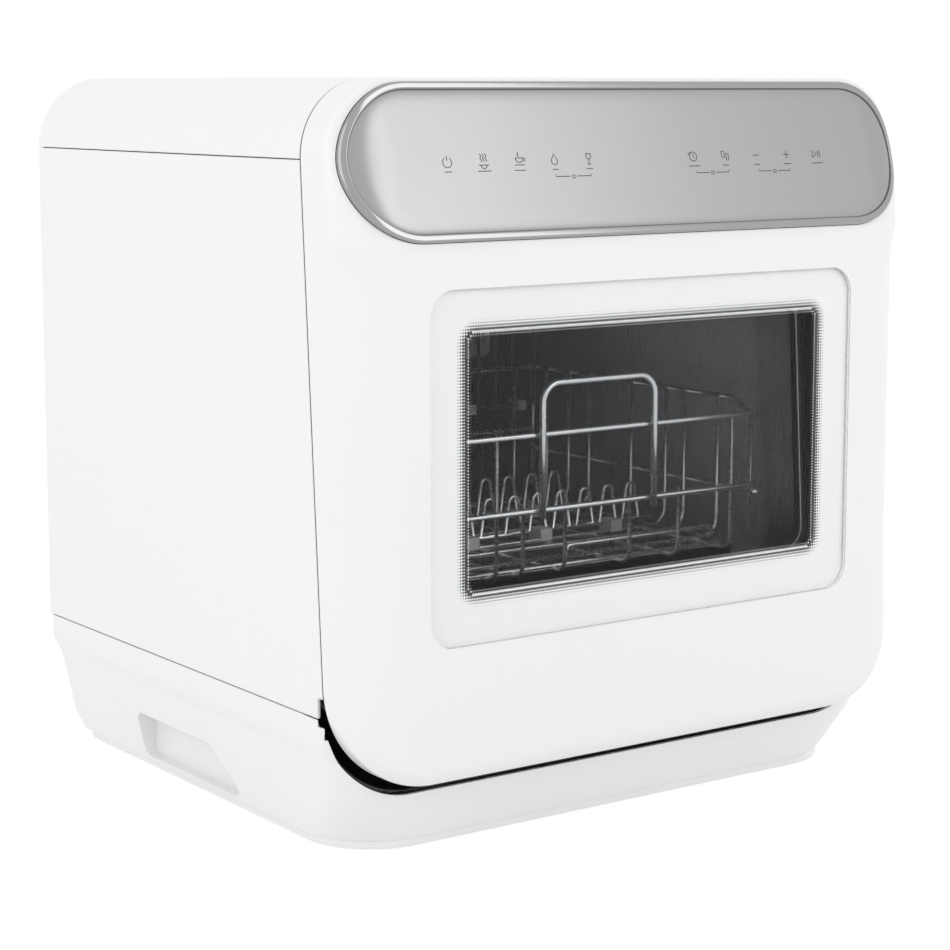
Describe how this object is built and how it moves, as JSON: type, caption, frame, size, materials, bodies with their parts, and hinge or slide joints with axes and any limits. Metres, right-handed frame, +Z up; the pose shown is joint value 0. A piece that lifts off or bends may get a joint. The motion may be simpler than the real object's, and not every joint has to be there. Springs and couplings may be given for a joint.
{
  "type": "countertop dishwasher",
  "caption": "Compact countertop glass washer with a bottom-hinged window door, tilted control panel, wire rack, spray arm and fill tank.",
  "frame": {"origin": "on the floor, under the middle of the overall box, rear fittings and the panel's rim included", "axes": "+Z up, -Y towards whoever faces the door, +X to their right"},
  "size_m": [0.42, 0.3922, 0.436],
  "materials": {
    "white_plastic": "satin",
    "dark_plastic": "matte",
    "grey_plastic": "matte",
    "clear_plastic": "satin",
    "stainless": "satin",
    "rack_wire": "polished",
    "dark_chrome": "polished",
    "panel_silver": "satin metallic",
    "rear_plate": "matte",
    "zinc": "dull",
    "black_rubber": "matte",
    "tinted_glass": "polished",
    "white_enamel": "printed under glass",
    "board_green": "matte",
    "float_red": "matte"
  },
  "bodies": {
    "cabinet": {"top_cover": "white_plastic", "left_side_panel": "white_plastic", "right_side_panel": "white_plastic", "rear_panel": "rear_plate", "base_tray": "white_plastic", "base_lip": "white_plastic", "rubber_feet": "black_rubber", "door_well": "dark_plastic", "front_frame": "grey_plastic", "tub": "stainless", "tub_gasket": "black_rubber", "rack_rails": "stainless", "tub_stand": "zinc", "vent_cover": "grey_plastic", "water_tank": "clear_plastic", "fill_funnel": "white_plastic", "inlet_valve": "grey_plastic", "drain_spigot": "grey_plastic", "cable_gland": "dark_plastic", "sump": "dark_plastic", "wash_pump": "dark_plastic", "drain_pump": "dark_plastic", "flow_heater": "stainless", "riser_pipe": "dark_plastic", "arm_nut": "grey_plastic", "filter_plate": "stainless", "ceiling_sprayer": "grey_plastic", "drying_fan": "dark_plastic", "control_box": "grey_plastic", "float_stem": "grey_plastic", "hinge_bracket_left": "zinc", "hinge_bracket_right": "zinc", "latch_housing": "dark_plastic", "rear_screws": "zinc"},
    "door": {"door_shell": "white_plastic", "door_liner": "stainless", "window_pane": "tinted_glass", "window_mask": "white_enamel", "inner_pane": "tinted_glass", "window_seal": "black_rubber", "panel_rim": "dark_chrome", "panel_face": "panel_silver", "panel_board": "board_green", "hinge_arm_left": "zinc", "hinge_arm_right": "zinc", "latch_tongue": "grey_plastic", "dispenser_body": "grey_plastic", "door_screws": "zinc"},
    "rack": {"rack_frame": "rack_wire", "rack_handle": "rack_wire", "rack_clips": "grey_plastic"},
    "front_tines": {"tine_row_front": "rack_wire"},
    "rear_tines": {"tine_row_rear": "rack_wire"},
    "cup_shelf": {"cup_shelf": "grey_plastic"},
    "spray_arm": {"spray_arm": "stainless"},
    "dispenser_lid": {"dispenser_lid": "grey_plastic"},
    "filter_cup": {"filter_cup": "grey_plastic"},
    "fill_lid": {"fill_lid": "white_plastic"},
    "fan_wheel": {"fan_wheel": "grey_plastic"},
    "overflow_float": {"overflow_float": "float_red"}
  },
  "joints": [
    {"name": "door_hinge", "type": "hinge", "parent": "cabinet", "child": "door", "pos_m": [0, -0.1645, 0.088], "axis": [1, 0, 0], "range_deg": [0, 90]},
    {"name": "rack_slide", "type": "slide", "parent": "cabinet", "child": "rack", "axis": [0, -1, 0], "range_m": [0, 0.071]},
    {"name": "front_tines_fold", "type": "hinge", "parent": "rack", "child": "front_tines", "pos_m": [0, -0.04239, 0.14735], "axis": [-1, 0, 0], "range_deg": [0, 90]},
    {"name": "rear_tines_fold", "type": "hinge", "parent": "rack", "child": "rear_tines", "pos_m": [0, 0.02361, 0.14735], "axis": [1, 0, 0], "range_deg": [0, 90]},
    {"name": "cup_shelf_fold", "type": "hinge", "parent": "rack", "child": "cup_shelf", "pos_m": [0, 0.08905, 0.209], "axis": [1, 0, 0], "range_deg": [0, 90]},
    {"name": "spray_arm_spin", "type": "hinge", "parent": "cabinet", "child": "spray_arm", "pos_m": [0, -0.01166, 0.1215], "axis": [0, 0, 1], "continuous": true},
    {"name": "dispenser_lid_hinge", "type": "hinge", "parent": "door", "child": "dispenser_lid", "pos_m": [-0.02, -0.14957, 0.32296], "axis": [-1, 0, 0], "range_deg": [0, 100]},
    {"name": "filter_cup_twist", "type": "hinge", "parent": "cabinet", "child": "filter_cup", "pos_m": [0.064, 0.05434, 0.1132], "axis": [0, 0, 1], "range_deg": [0, 45]},
    {"name": "fill_lid_hinge", "type": "hinge", "parent": "cabinet", "child": "fill_lid", "pos_m": [0.122, 0.1629, 0.4348], "axis": [-1, 0, 0], "range_deg": [0, 100]},
    {"name": "fan_spin", "type": "hinge", "parent": "cabinet", "child": "fan_wheel", "pos_m": [-0.14, -0.01166, 0.399], "axis": [0, 0, 1], "continuous": true},
    {"name": "float_rise", "type": "slide", "parent": "cabinet", "child": "overflow_float", "axis": [0, 0, 1], "range_m": [0, 0.006]}
  ],
  "couplings": [
    {"joint": "rack_slide", "follows": "door_hinge", "m_per_rad": 0.045}
  ]
}
